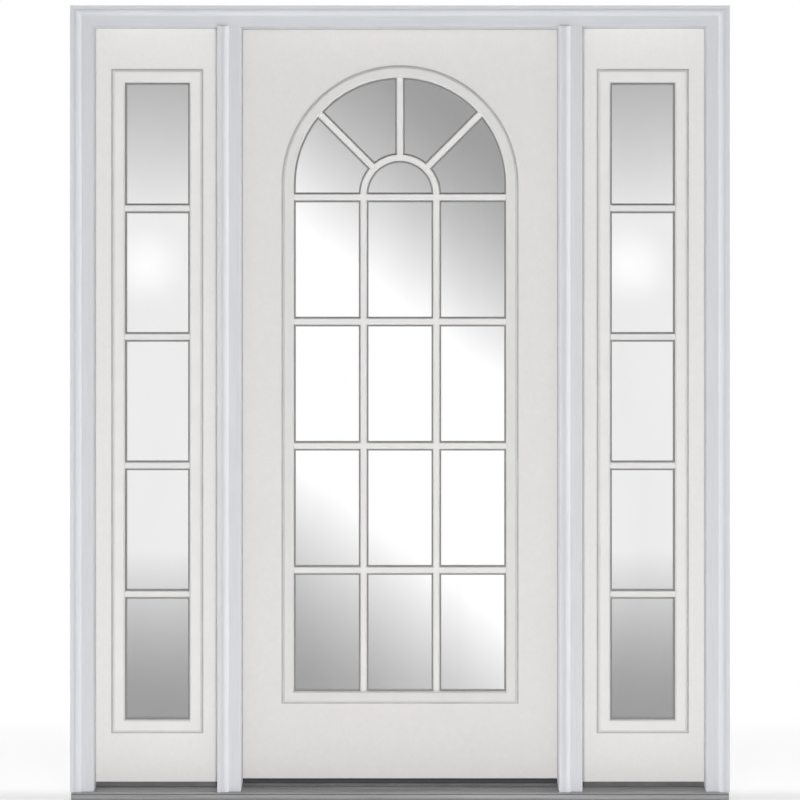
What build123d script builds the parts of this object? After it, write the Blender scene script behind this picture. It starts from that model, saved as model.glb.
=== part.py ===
# Prehung entry door: an arched, glazed leaf between two fixed sidelites in one rabbeted frame.
# X runs to the right seen from outside, +Y into the house and +Z up. The origin is on the underside
# of the sill, halfway along it, in the plane where the jambs meet the outer face of the wall.
import os
from math import atan2, cos, degrees, radians, sin

from build123d import *

os.makedirs("parts", exist_ok=True)

# Leaf
leaf_width = 860.0
leaf_height = 2013.0
leaf_thickness = 44.45
leaf_gap = 5.0
skin_thickness = 2.5
skin_edge_round = 1.2
stile_width = 32.0
top_rail_height = 32.0
bottom_rail_height = 50.0
lock_bevel = 2.5

# Sidelite panels
sidelite_width = 349.2
sidelite_gap = 1.6

# Jambs and mullions
jamb_thickness = 19.05
jamb_depth = 115.9
mullion_thickness = 38.1
stop_projection = 12.7
stop_depth = 63.5

# Casing: fillet, quirk, ovolo and flat, from the outer edge to the opening
side_overhang = 31.75
head_overhang = 23.2
casing_setback = 1.0
casing_relief = 1.0
casing_proud = 31.75
casing_round = 1.5
fillet_width = 11.2
quirk_width = 2.0
quirk_depth = 4.2
ovolo_width = 17.3
ovolo_proud = 29.5
ovolo_drop = 8.0
flat_proud = 20.0

# Sill
horn_length = 872.3
nose_front = -45.0
nose_foot = 2.0
nose_height = 14.5
nose_depth = 7.0
nose_round = 3.0
slot_height = 2.0
lip_front = -43.0
lip_height = 18.5
deck_knee = 66.0
deck_back_height = 28.0
deck_thickness = 3.0
flute_count = 6
flute_pitch = 14.0
flute_first = -24.0
flute_width = 5.0
flute_depth = 0.9
cap_front = 72.5
cap_back = 112.0
cap_height = 7.0
cap_round = 2.5
cap_end_gap = 0.5
base_front = 67.0
base_back = 106.0
base_height = 12.0

# Seals
seal_lip = 2.0
seal_clearance = 0.6
seal_end_gap = 0.4
sweep_clearance = 1.0
sweep_height = 12.0
sweep_inset = 2.0
sweep_plate = 2.5
sweep_margin = 1.5
fin_thickness = 3.0
fin_count = 3

# Leaf lite: the sight line is the inner edge of the lite frame
sight_half = 284.0
sight_from_top = 137.0
sight_from_bottom = 233.0
leaf_frame_face = 29.0
top_bar_drop = 36.0
leaf_bar_count = 4
leaf_column_count = 3
spoke_angles = (45.0, 90.0, 135.0)

# Sidelite lite
side_sight_half = 86.5
side_sight_from_top = 154.5
side_sight_from_bottom = 166.0
side_frame_face = 32.5
side_bar_count = 4

# Lite frames, insulated glass and bars
frame_proud = 9.5
frame_outer_bevel = 5.0
frame_inner_bevel = 4.5
frame_crest_round = 1.5
frame_leg = 8.0
cutout_grow = 12.0
glass_grow = 8.0
pane_thickness = 3.2
unit_thickness = 25.4
spacer_show = 4.5
bar_width = 17.0
bar_proud = 9.0
bar_bevel = 2.5

# Hinges
hinge_length = 101.6
hinge_plate = 2.5
hinge_reach = 38.0
hinge_from_top = 180.0
hinge_from_bottom = 280.0
barrel_radius = 6.5
barrel_stand_off = 0.5
knuckle_count = 5
knuckle_gap = 0.4
pin_radius = 3.0
pin_clearance = 0.06
button_radius = 5.2
button_height = 3.0

# Positions across the unit
door_rabbet = leaf_width / 2 + leaf_gap
door_stop = door_rabbet - stop_projection
mullion_far = door_rabbet + mullion_thickness
mullion_far_stop = mullion_far + stop_projection
unit_rabbet = mullion_far + sidelite_width + 2 * sidelite_gap
unit_stop = unit_rabbet - stop_projection
unit_half = unit_rabbet + jamb_thickness
casing_half = unit_half + side_overhang
sidelite_x = (mullion_far + unit_rabbet) / 2

# Heights
cap_top = deck_back_height + cap_height
sweep_bottom = cap_top + sweep_clearance
leaf_bottom = sweep_bottom + sweep_height
leaf_top = leaf_bottom + leaf_height
head_rabbet = leaf_top + leaf_gap
head_stop = head_rabbet - stop_projection
head_top = head_rabbet + jamb_thickness
unit_top = head_top + head_overhang
panel_bottom = deck_back_height + base_height
panel_top = head_rabbet - sidelite_gap
arch_centre = leaf_top - sight_from_top - sight_half
sight_bottom = leaf_bottom + sight_from_bottom
top_bar = arch_centre - top_bar_drop
side_sight_top = panel_top - side_sight_from_top
side_sight_bottom = panel_bottom + side_sight_from_bottom

# Pitches that divide a lite into equal panes
leaf_row_pitch = (top_bar + bar_width / 2 - sight_bottom) / leaf_bar_count
leaf_column_pitch = (2 * sight_half + bar_width) / leaf_column_count
side_row_pitch = (side_sight_top + bar_width - side_sight_bottom) / (side_bar_count + 1)

# Depths
leaf_face = jamb_depth - leaf_thickness
leaf_middle = jamb_depth - leaf_thickness / 2
panel_face = stop_depth
panel_middle = panel_face + leaf_thickness / 2

# Fan over the top bar, with a hub as wide as the middle column
hub_centre = top_bar + bar_width / 2
hub_radius = leaf_column_pitch / 2

# Slope of the sill's deck
deck_angle = degrees(atan2(deck_back_height - lip_height, deck_knee - lip_front))

# Casing widths
side_casing = unit_half + side_overhang - unit_stop - casing_setback
head_casing = unit_top - head_stop - casing_setback
mullion_casing_width = mullion_far_stop - door_stop - 2 * casing_setback

# Hinge axis and heights
hinge_x = -(leaf_width / 2 + leaf_gap / 2)
hinge_y = jamb_depth + barrel_radius + barrel_stand_off
hinge_high = leaf_top - hinge_from_top
hinge_low = leaf_bottom + hinge_from_bottom
hinge_heights = (hinge_low, (hinge_low + hinge_high) / 2, hinge_high)

# Room beyond a piece for cuts that run right through it
past = 10.0


def save(builder, name):
    """Label a piece and write its STEP file."""
    builder.part.label = name
    export_step(builder.part, f"parts/{name}.step")


def wall_plane(y):
    """Upright plane at a depth, with X across, Z up and its normal to the outside."""
    return Plane.XZ.offset(-y)


def block(low, high, mode=Mode.ADD):
    """Straight block between two corners."""
    with BuildSketch(Plane.XY.offset(low[2])) as footprint:
        with Locations(((low[0] + high[0]) / 2, (low[1] + high[1]) / 2)):
            Rectangle(high[0] - low[0], high[1] - low[1])
    extrude(footprint.sketch, amount=high[2] - low[2], mode=mode)


def cut_to_sill():
    """Cut the foot of the post being built to the slope of the sill."""
    with BuildSketch(Plane.YZ) as below_deck:
        with BuildLine():
            Polyline(
                (lip_front, -past),
                (lip_front, lip_height),
                (deck_knee, deck_back_height),
                (jamb_depth + past, deck_back_height),
                (jamb_depth + past, -past),
                close=True,
            )
        make_face()
    extrude(below_deck.sketch, amount=casing_half + past, both=True, mode=Mode.SUBTRACT)


def cut_horns():
    """Take the sill back to the jambs where it lies behind the casing's back."""
    top = deck_back_height + past
    for side in (-1, 1):
        ends = sorted((side * unit_half, side * (horn_length + past)))
        block((ends[0], -casing_relief, -past), (ends[1], jamb_depth + past, top), Mode.SUBTRACT)


def casing_section(place, width, overhang):
    """Casing section, where place maps (from the outer edge, proud of the wall) to sketch points."""
    k = width / side_casing
    soft = casing_round * (1 - cos(radians(45)))
    quirk_end = (fillet_width + quirk_width) * k
    ovolo_end = quirk_end + ovolo_width * k
    ovolo_foot = ovolo_proud - ovolo_drop
    ovolo_mid = (
        quirk_end + ovolo_width * k * sin(radians(45)),
        ovolo_foot + ovolo_drop * cos(radians(45)),
    )
    with BuildLine() as section:
        Polyline(
            place(casing_round, casing_proud),
            place(fillet_width * k, casing_proud),
            place(fillet_width * k, casing_proud - quirk_depth),
            place(quirk_end, casing_proud - quirk_depth),
            place(quirk_end, ovolo_proud),
        )
        ThreePointArc(place(quirk_end, ovolo_proud), place(*ovolo_mid), place(ovolo_end, ovolo_foot))
        Polyline(
            place(ovolo_end, ovolo_foot),
            place(ovolo_end, flat_proud),
            place(width - casing_round, flat_proud),
        )
        ThreePointArc(
            place(width - casing_round, flat_proud),
            place(width - soft, flat_proud - soft),
            place(width, flat_proud - casing_round),
        )
        if overhang > 0:
            Polyline(
                place(width, flat_proud - casing_round),
                place(width, 0),
                place(overhang, 0),
                place(overhang, casing_relief),
                place(0, casing_relief),
                place(0, casing_proud - casing_round),
            )
        else:
            Polyline(
                place(width, flat_proud - casing_round),
                place(width, 0),
                place(0, 0),
                place(0, casing_proud - casing_round),
            )
        ThreePointArc(
            place(0, casing_proud - casing_round),
            place(soft, casing_proud - soft),
            place(casing_round, casing_proud),
        )
    make_face(section.edges())


def mitre_plane(side):
    """Plane of the casing's mitre at the left (-1) or right (1) top corner, facing the head."""
    return Plane(
        origin=(side * casing_half, 0, unit_top),
        x_dir=(0, 1, 0),
        z_dir=(-side * head_casing, 0, side_casing),
    )


def arched_outline(grow, mode=Mode.ADD):
    """Arched sight line of the leaf's lite, grown outwards."""
    half = sight_half + grow
    low = sight_bottom - grow
    with BuildLine() as outline:
        Polyline((-half, arch_centre), (-half, low), (half, low), (half, arch_centre))
        ThreePointArc((half, arch_centre), (0, arch_centre + half), (-half, arch_centre))
    make_face(outline.edges(), mode=mode)


def side_outline(grow, mode=Mode.ADD):
    """Straight sight line of the right sidelite's lite, grown outwards."""
    with Locations((sidelite_x, (side_sight_bottom + side_sight_top) / 2)):
        Rectangle(
            2 * (side_sight_half + grow),
            side_sight_top - side_sight_bottom + 2 * grow,
            mode=mode,
        )


def leaf_bars(width, reach):
    """Fan with its hub and spokes over columns of panes, run on past the sight line."""
    with Locations((0, hub_centre)):
        Circle(hub_radius + width / 2)
        Circle(hub_radius - width / 2, mode=Mode.SUBTRACT)
    with Locations((0, hub_centre - hub_radius)):
        Rectangle(4 * hub_radius, 2 * hub_radius, mode=Mode.SUBTRACT)
    spoke_length = sight_half
    middle = hub_radius + spoke_length / 2
    for angle in spoke_angles:
        with Locations((middle * cos(radians(angle)), hub_centre + middle * sin(radians(angle)))):
            Rectangle(spoke_length, width, rotation=angle)
    for row in range(leaf_bar_count):
        with Locations((0, top_bar - row * leaf_row_pitch)):
            Rectangle(2 * (sight_half + reach), width)
    upright_height = hub_centre - sight_bottom + reach
    for column in range(1, leaf_column_count):
        x = column * leaf_column_pitch - sight_half - bar_width / 2
        with Locations((x, hub_centre - upright_height / 2)):
            Rectangle(width, upright_height)
    arched_outline(reach, Mode.INTERSECT)


def side_bars(width, reach):
    """Cross bars that divide a sidelite into equal panes, run on past the sight line."""
    for row in range(1, side_bar_count + 1):
        with Locations((sidelite_x, side_sight_bottom + row * side_row_pitch - bar_width / 2)):
            Rectangle(2 * (side_sight_half + reach), width)


def lite_frame(outline, face, glass, face_width):
    """Lite frame on a panel's outer face: a bevelled flange and a leg that reaches in to the glass."""
    with BuildSketch(wall_plane(face)) as flange:
        outline(face_width)
        outline(0, Mode.SUBTRACT)
    extrude(flange.sketch, amount=frame_proud)
    with BuildSketch(wall_plane(face)) as leg:
        outline(frame_leg)
        outline(0, Mode.SUBTRACT)
    extrude(leg.sketch, amount=face - glass)


def bevel_frame(builder):
    """Bevel the outer and inner edges of a lite frame's front and soften its crest."""
    front = builder.faces().sort_by(Axis.Y)[0]
    inner_edges = front.inner_wires()[0].edges()
    chamfer(front.outer_wire().edges(), frame_outer_bevel)
    chamfer(inner_edges, frame_inner_bevel)
    fillet(builder.faces().sort_by(Axis.Y)[0].edges(), frame_crest_round)


def glass_pair(outline, middle):
    """Outer and inner panes of an insulated unit centred on a panel."""
    reach = unit_thickness / 2
    for y in (middle - reach + pane_thickness, middle + reach):
        with BuildSketch(wall_plane(y)) as pane:
            outline(glass_grow)
        extrude(pane.sketch, amount=pane_thickness)


def spacer(outline, bars, middle):
    """Edge spacer of an insulated unit with the bars that line up behind its grille."""
    gap = unit_thickness - 2 * pane_thickness
    with BuildSketch(wall_plane(middle + gap / 2)) as lattice:
        bars(bar_width + 2 * spacer_show, 0)
    extrude(lattice.sketch, amount=gap)
    with BuildSketch(wall_plane(middle + gap / 2)) as border:
        outline(glass_grow)
        outline(-spacer_show, Mode.SUBTRACT)
    extrude(border.sketch, amount=gap)


def grille(builder, outline, bars, glass):
    """Raised bars on the outer face of the glass, with bevelled edges, cut off at the sight line."""
    with BuildSketch(wall_plane(glass)) as lattice:
        bars(bar_width, past)
    extrude(lattice.sketch, amount=bar_proud)
    chamfer(builder.faces().group_by(Axis.Y)[0].edges(), bar_bevel)
    with BuildSketch(wall_plane(glass)) as sight:
        outline(0)
    extrude(sight.sketch, amount=bar_proud, mode=Mode.INTERSECT)


def bevel_lock_edge():
    """Take the lock edge back towards the outside so that the leaf clears its jamb."""
    with BuildSketch(Plane.XY.offset(leaf_bottom - past)) as wedge:
        with BuildLine():
            Polyline(
                (leaf_width / 2, jamb_depth),
                (leaf_width / 2 + past, jamb_depth),
                (leaf_width / 2 + past, leaf_face),
                (leaf_width / 2 - lock_bevel, leaf_face),
                close=True,
            )
        make_face()
    extrude(wedge.sketch, amount=leaf_height + 2 * past, mode=Mode.SUBTRACT)


def hinge_pockets(x):
    """Mortises for the hinge plates, from a given side of the plate."""
    for z in hinge_heights:
        block(
            (x, jamb_depth - hinge_reach, z - hinge_length / 2),
            (x + hinge_plate, jamb_depth, z + hinge_length / 2),
            Mode.SUBTRACT,
        )


def hinge_leaf(x, z, knuckles):
    """One hinge plate with its share of the knuckles."""
    low = z - hinge_length / 2
    block(
        (x, jamb_depth - hinge_reach, low),
        (x + hinge_plate, jamb_depth, low + hinge_length),
    )
    pitch = hinge_length / knuckle_count
    for index in knuckles:
        bottom = low + index * pitch + knuckle_gap / 2
        block(
            (x, jamb_depth, bottom),
            (x + hinge_plate, hinge_y, bottom + pitch - knuckle_gap),
        )
        rod(barrel_radius, bottom, pitch - knuckle_gap)


def rod(radius, bottom, length, mode=Mode.ADD):
    """Round bar on the hinge axis."""
    with BuildSketch(Plane.XY.offset(bottom)) as disc:
        with Locations((hinge_x, hinge_y)):
            Circle(radius)
    extrude(disc.sketch, amount=length, mode=mode)


# Sill: a core board under a fluted metal deck with a rounded nose
with BuildPart() as sill_substrate:
    with BuildSketch(Plane.YZ):
        with BuildLine():
            Polyline(
                (nose_front + nose_depth, 0),
                (nose_front + nose_depth, lip_height - deck_thickness),
                (deck_knee, deck_back_height - deck_thickness),
                (jamb_depth, deck_back_height - deck_thickness),
                (jamb_depth, 0),
                close=True,
            )
        make_face()
    extrude(amount=horn_length, both=True)
    cut_horns()
save(sill_substrate, "sill_substrate")

with BuildPart() as sill_deck:
    with BuildSketch(Plane.YZ) as deck_section:
        with BuildLine():
            Polyline(
                (nose_front, nose_foot),
                (nose_front, nose_height),
                (lip_front + nose_depth / 2, nose_height),
                (lip_front + nose_depth / 2, nose_height + slot_height),
                (lip_front, nose_height + slot_height),
                (lip_front, lip_height),
                (deck_knee, deck_back_height),
                (jamb_depth, deck_back_height),
                (jamb_depth, deck_back_height - deck_thickness),
                (deck_knee, deck_back_height - deck_thickness),
                (nose_front + nose_depth, lip_height - deck_thickness),
                (nose_front + nose_depth, nose_foot),
                close=True,
            )
        make_face()
        nose_corners = deck_section.vertices().group_by(Axis.X)[0]
        fillet(nose_corners, nose_round)
        for index in range(flute_count):
            y = flute_first + index * flute_pitch
            z = lip_height + (deck_back_height - lip_height) * (y - lip_front) / (deck_knee - lip_front)
            with Locations((y, z)):
                Rectangle(flute_width, 2 * flute_depth, rotation=deck_angle, mode=Mode.SUBTRACT)
    extrude(amount=horn_length, both=True)
    cut_horns()
save(sill_deck, "sill_deck")

with BuildPart() as threshold_cap:
    cap_end = door_rabbet - cap_end_gap
    block((-cap_end, cap_front, deck_back_height), (cap_end, cap_back, cap_top))
    fillet(threshold_cap.faces().sort_by(Axis.Z)[-1].edges().filter_by(Axis.X), cap_round)
save(threshold_cap, "threshold_cap")

with BuildPart() as sidelite_bases:
    for side in (-1, 1):
        ends = sorted((side * (mullion_far + sidelite_gap), side * (unit_rabbet - sidelite_gap)))
        block((ends[0], base_front, deck_back_height), (ends[1], base_back, panel_bottom))
save(sidelite_bases, "sidelite_bases")

# Side jambs: rabbeted posts that stand on the sill
with BuildPart() as right_jamb:
    with BuildSketch(Plane.XY):
        with BuildLine():
            Polyline(
                (unit_half, 0),
                (unit_stop, 0),
                (unit_stop, stop_depth),
                (unit_rabbet, stop_depth),
                (unit_rabbet, jamb_depth),
                (unit_half, jamb_depth),
                close=True,
            )
        make_face()
    extrude(amount=head_rabbet)
    cut_to_sill()
save(right_jamb, "right_jamb")

with BuildPart() as left_jamb:
    mirror(right_jamb.part, about=Plane.YZ)
save(left_jamb, "left_jamb")

# Mullions: posts with a stop on both sides, the left one mortised for the hinges
with BuildPart() as right_mullion:
    with BuildSketch(Plane.XY):
        with BuildLine():
            Polyline(
                (door_stop, 0),
                (mullion_far_stop, 0),
                (mullion_far_stop, stop_depth),
                (mullion_far, stop_depth),
                (mullion_far, jamb_depth),
                (door_rabbet, jamb_depth),
                (door_rabbet, stop_depth),
                (door_stop, stop_depth),
                close=True,
            )
        make_face()
    extrude(amount=head_rabbet)
    cut_to_sill()
save(right_mullion, "right_mullion")

with BuildPart() as left_mullion:
    mirror(right_mullion.part, about=Plane.YZ)
    hinge_pockets(-door_rabbet - hinge_plate)
save(left_mullion, "left_mullion")

# Head jamb over all the posts, with its stop between them
with BuildPart() as head_jamb:
    block((-unit_half, 0, head_rabbet), (unit_half, jamb_depth, head_top))
    for low, high in (
        (-unit_stop, -mullion_far_stop),
        (-door_stop, door_stop),
        (mullion_far_stop, unit_stop),
    ):
        block((low, 0, head_stop), (high, stop_depth, head_rabbet))
save(head_jamb, "head_jamb")

# Casing round the unit, mitred at the top corners
with BuildPart() as right_brickmould:
    with BuildSketch(Plane.XY):
        casing_section(lambda u, d: (casing_half - u, -d), side_casing, side_overhang)
    extrude(amount=unit_top)
    cut_to_sill()
    split(bisect_by=mitre_plane(1), keep=Keep.BOTTOM)
save(right_brickmould, "right_brickmould")

with BuildPart() as left_brickmould:
    mirror(right_brickmould.part, about=Plane.YZ)
save(left_brickmould, "left_brickmould")

with BuildPart() as head_brickmould:
    with BuildSketch(Plane.YZ):
        casing_section(lambda u, d: (-d, unit_top - u), head_casing, head_overhang)
    extrude(amount=casing_half, both=True)
    for side in (-1, 1):
        split(bisect_by=mitre_plane(side), keep=Keep.TOP)
save(head_brickmould, "head_brickmould")

# Mullion casings, both with the ovolo to the left
for name, start in (
    ("left_mullion_casing", -mullion_far_stop + casing_setback),
    ("right_mullion_casing", door_stop + casing_setback),
):
    with BuildPart() as mullion_casing:
        with BuildSketch(Plane.XY):
            casing_section(lambda u, d: (start + u, -d), mullion_casing_width, 0)
        extrude(amount=unit_top - head_casing)
        cut_to_sill()
    save(mullion_casing, name)

# Weatherstrip behind the stops that the leaf closes against
with BuildPart() as door_weatherstrip:
    seal_back = leaf_face - seal_clearance
    seal_inner = door_stop - seal_lip
    head_seal = head_stop - seal_lip
    for side in (-1, 1):
        ends = sorted((side * door_rabbet, side * seal_inner))
        block((ends[0], stop_depth, cap_top), (ends[1], seal_back, head_seal - seal_end_gap))
    block((-door_rabbet, stop_depth, head_seal), (door_rabbet, seal_back, head_rabbet))
save(door_weatherstrip, "door_weatherstrip")

# Right sidelite, and the left one as its mirror image
panel_glass = panel_middle - unit_thickness / 2

with BuildPart() as right_sidelite_panel:
    block(
        (mullion_far + sidelite_gap, panel_face, panel_bottom),
        (unit_rabbet - sidelite_gap, panel_face + leaf_thickness, panel_top),
    )
    with BuildSketch(wall_plane(panel_face + leaf_thickness)):
        side_outline(cutout_grow)
    extrude(amount=leaf_thickness, mode=Mode.SUBTRACT)

with BuildPart() as right_sidelite_exterior_frame:
    lite_frame(side_outline, panel_face, panel_glass, side_frame_face)
    bevel_frame(right_sidelite_exterior_frame)

with BuildPart() as right_sidelite_interior_frame:
    mirror(right_sidelite_exterior_frame.part, about=wall_plane(panel_middle))

with BuildPart() as right_sidelite_glass:
    glass_pair(side_outline, panel_middle)

with BuildPart() as right_sidelite_spacer:
    spacer(side_outline, side_bars, panel_middle)

with BuildPart() as right_sidelite_exterior_grille:
    grille(right_sidelite_exterior_grille, side_outline, side_bars, panel_glass)

with BuildPart() as right_sidelite_interior_grille:
    mirror(right_sidelite_exterior_grille.part, about=wall_plane(panel_middle))

for name, piece in (
    ("panel", right_sidelite_panel),
    ("exterior_frame", right_sidelite_exterior_frame),
    ("interior_frame", right_sidelite_interior_frame),
    ("glass", right_sidelite_glass),
    ("spacer", right_sidelite_spacer),
    ("exterior_grille", right_sidelite_exterior_grille),
    ("interior_grille", right_sidelite_interior_grille),
):
    save(piece, f"right_sidelite_{name}")
    with BuildPart() as left_piece:
        mirror(piece.part, about=Plane.YZ)
    save(left_piece, f"left_sidelite_{name}")

# Leaf: two moulded skins on a frame of stiles and rails round a foam core
leaf_half = leaf_width / 2
core_front = leaf_face + skin_thickness
core_back = jamb_depth - skin_thickness

with BuildPart() as door_exterior_skin:
    block((-leaf_half, leaf_face, leaf_bottom), (leaf_half, core_front, leaf_top))
    bevel_lock_edge()
    fillet(door_exterior_skin.faces().sort_by(Axis.Y)[0].edges(), skin_edge_round)
    with BuildSketch(wall_plane(core_front)):
        arched_outline(cutout_grow)
    extrude(amount=skin_thickness, mode=Mode.SUBTRACT)
save(door_exterior_skin, "door_exterior_skin")

with BuildPart() as door_interior_skin:
    block((-leaf_half, core_back, leaf_bottom), (leaf_half, jamb_depth, leaf_top))
    bevel_lock_edge()
    fillet(door_interior_skin.faces().sort_by(Axis.Y)[-1].edges(), skin_edge_round)
    with BuildSketch(wall_plane(jamb_depth)):
        arched_outline(cutout_grow)
    extrude(amount=skin_thickness, mode=Mode.SUBTRACT)
    hinge_pockets(-leaf_half)
save(door_interior_skin, "door_interior_skin")

with BuildPart() as hinge_stile:
    block((-leaf_half, core_front, leaf_bottom), (-leaf_half + stile_width, core_back, leaf_top))
    hinge_pockets(-leaf_half)
save(hinge_stile, "hinge_stile")

with BuildPart() as lock_stile:
    block((leaf_half - stile_width, core_front, leaf_bottom), (leaf_half, core_back, leaf_top))
    bevel_lock_edge()
save(lock_stile, "lock_stile")

rail_half = leaf_half - stile_width
with BuildPart() as top_rail:
    block((-rail_half, core_front, leaf_top - top_rail_height), (rail_half, core_back, leaf_top))
save(top_rail, "top_rail")

with BuildPart() as bottom_rail:
    block((-rail_half, core_front, leaf_bottom), (rail_half, core_back, leaf_bottom + bottom_rail_height))
save(bottom_rail, "bottom_rail")

with BuildPart() as door_core:
    block(
        (-rail_half, core_front, leaf_bottom + bottom_rail_height),
        (rail_half, core_back, leaf_top - top_rail_height),
    )
    with BuildSketch(wall_plane(core_back)):
        arched_outline(cutout_grow)
    extrude(amount=core_back - core_front, mode=Mode.SUBTRACT)
save(door_core, "door_core")

# Leaf lite: frames on both faces, insulated glass and raised bars
leaf_glass = leaf_middle - unit_thickness / 2

with BuildPart() as door_exterior_lite_frame:
    lite_frame(arched_outline, leaf_face, leaf_glass, leaf_frame_face)
    bevel_frame(door_exterior_lite_frame)
save(door_exterior_lite_frame, "door_exterior_lite_frame")

with BuildPart() as door_interior_lite_frame:
    mirror(door_exterior_lite_frame.part, about=wall_plane(leaf_middle))
save(door_interior_lite_frame, "door_interior_lite_frame")

with BuildPart() as door_glass:
    glass_pair(arched_outline, leaf_middle)
save(door_glass, "door_glass")

with BuildPart() as door_spacer:
    spacer(arched_outline, leaf_bars, leaf_middle)
save(door_spacer, "door_spacer")

with BuildPart() as door_exterior_grille:
    grille(door_exterior_grille, arched_outline, leaf_bars, leaf_glass)
save(door_exterior_grille, "door_exterior_grille")

with BuildPart() as door_interior_grille:
    mirror(door_exterior_grille.part, about=wall_plane(leaf_middle))
save(door_interior_grille, "door_interior_grille")

# Sweep under the leaf: a plate with fins that close on the threshold cap
with BuildPart() as door_sweep:
    sweep_half = leaf_half - lock_bevel - sweep_inset
    sweep_front = leaf_face + sweep_margin
    sweep_back = jamb_depth - sweep_margin
    block(
        (-sweep_half, sweep_front, leaf_bottom - sweep_plate),
        (sweep_half, sweep_back, leaf_bottom),
    )
    fin_pitch = (sweep_back - sweep_front - fin_thickness) / (fin_count - 1)
    for index in range(fin_count):
        fin = sweep_front + index * fin_pitch
        block((-sweep_half, fin, sweep_bottom), (sweep_half, fin + fin_thickness, leaf_bottom))
save(door_sweep, "door_sweep")

# Butt hinges: the frame's plates carry the pins, the leaf's plates turn on them
jamb_knuckles = range(0, knuckle_count, 2)
door_knuckles = range(1, knuckle_count, 2)
with BuildPart() as hinge_jamb_leaves:
    for z in hinge_heights:
        hinge_leaf(-door_rabbet - hinge_plate, z, jamb_knuckles)
        rod(pin_radius, z - hinge_length / 2 + knuckle_gap, hinge_length - 2 * knuckle_gap)
        rod(button_radius, z + hinge_length / 2 - knuckle_gap / 2, button_height)
save(hinge_jamb_leaves, "hinge_jamb_leaves")

with BuildPart() as hinge_door_leaves:
    for z in hinge_heights:
        hinge_leaf(-leaf_half, z, door_knuckles)
        rod(
            pin_radius + pin_clearance,
            z - hinge_length / 2,
            hinge_length,
            Mode.SUBTRACT,
        )
save(hinge_door_leaves, "hinge_door_leaves")
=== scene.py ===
"""Finishes, seals, hinge screws and studio of a prehung entry door with two sidelites."""

import math

import bpy
import numpy as np
from bpy.props import FloatProperty, FloatVectorProperty, IntProperty, PointerProperty
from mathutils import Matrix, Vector


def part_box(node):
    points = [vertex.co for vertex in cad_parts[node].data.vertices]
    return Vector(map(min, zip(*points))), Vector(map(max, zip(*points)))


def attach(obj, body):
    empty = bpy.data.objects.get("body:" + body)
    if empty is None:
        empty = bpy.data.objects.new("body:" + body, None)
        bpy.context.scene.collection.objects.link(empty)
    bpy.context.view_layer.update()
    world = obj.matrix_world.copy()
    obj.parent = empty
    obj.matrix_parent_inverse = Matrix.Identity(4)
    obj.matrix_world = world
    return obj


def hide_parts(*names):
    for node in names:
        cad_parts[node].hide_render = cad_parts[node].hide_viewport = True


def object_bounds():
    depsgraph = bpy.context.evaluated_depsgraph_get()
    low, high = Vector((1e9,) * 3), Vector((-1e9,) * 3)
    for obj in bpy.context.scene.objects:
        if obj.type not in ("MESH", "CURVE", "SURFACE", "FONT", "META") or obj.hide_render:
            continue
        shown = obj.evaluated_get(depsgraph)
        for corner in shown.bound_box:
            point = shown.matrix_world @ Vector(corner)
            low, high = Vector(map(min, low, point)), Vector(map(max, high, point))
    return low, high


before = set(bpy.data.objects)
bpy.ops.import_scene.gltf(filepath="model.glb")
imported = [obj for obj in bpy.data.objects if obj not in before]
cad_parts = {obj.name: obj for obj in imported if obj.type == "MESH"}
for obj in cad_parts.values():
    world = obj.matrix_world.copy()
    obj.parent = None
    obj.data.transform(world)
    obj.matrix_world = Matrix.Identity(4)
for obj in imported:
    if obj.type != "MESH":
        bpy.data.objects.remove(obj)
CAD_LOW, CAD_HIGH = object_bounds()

bl_info = {
    "name": "Prehung Entry Door",
    "version": (1, 0, 0),
    "blender": (4, 5, 0),
    "location": "3D View > Sidebar > Entry Door",
    "description": "Finishes a prehung entry door and fits its seals and hinge screws",
    "category": "Object",
}

MM = 0.001
WHITE = (1.0, 1.0, 1.0, 1.0)
SIDES = ("left", "right")
LITES = ("door", "left_sidelite", "right_sidelite")
# Which way each face of the unit looks along the frame's second axis
FACES = {"exterior": -1.0, "interior": 1.0}

# Edges that turn by more than this stay crisp
CRISP_EDGE = math.radians(35.0)
CRISP_SCREW_EDGE = math.radians(40.0)
# How far a fitted piece is let into the one that carries it
LET_IN = 0.2 * MM

# Screws of a hinge plate, as shares of half its height and of its width
HINGES = 3
SCREW_ROWS = np.array([-0.76, -0.28, 0.28, 0.76])
SCREW_STAGGER = np.array([-0.2, 0.2, -0.2, 0.2])

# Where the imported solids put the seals, the hinge plates, the leaf and the casing
SEAL_LOW, SEAL_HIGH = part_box("door_weatherstrip")
SWEEP_LOW, SWEEP_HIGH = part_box("door_sweep")
PLATES_LOW, PLATES_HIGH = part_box("hinge_door_leaves")
LEAF_LOW, LEAF_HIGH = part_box("door_interior_skin")
CASING_LOW, CASING_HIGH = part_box("head_brickmould")


def seen_colour(name, description, default):
    """A colour as it is seen on a screen, red, green and blue from 0 to 1."""
    return FloatVectorProperty(
        name=name,
        description=description,
        subtype="COLOR_GAMMA",
        size=3,
        min=0.0,
        max=1.0,
        default=default,
    )


def length(name, description, default):
    """A length in metres."""
    return FloatProperty(name=name, description=description, unit="LENGTH", min=0.0, default=default)


def lengths(name, description, default):
    """Two or three lengths in metres."""
    return FloatVectorProperty(
        name=name, description=description, unit="LENGTH", size=len(default), default=default
    )


def amount(name, description, default):
    """A plain number that isn't below nought."""
    return FloatProperty(name=name, description=description, min=0.0, default=default)


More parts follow.
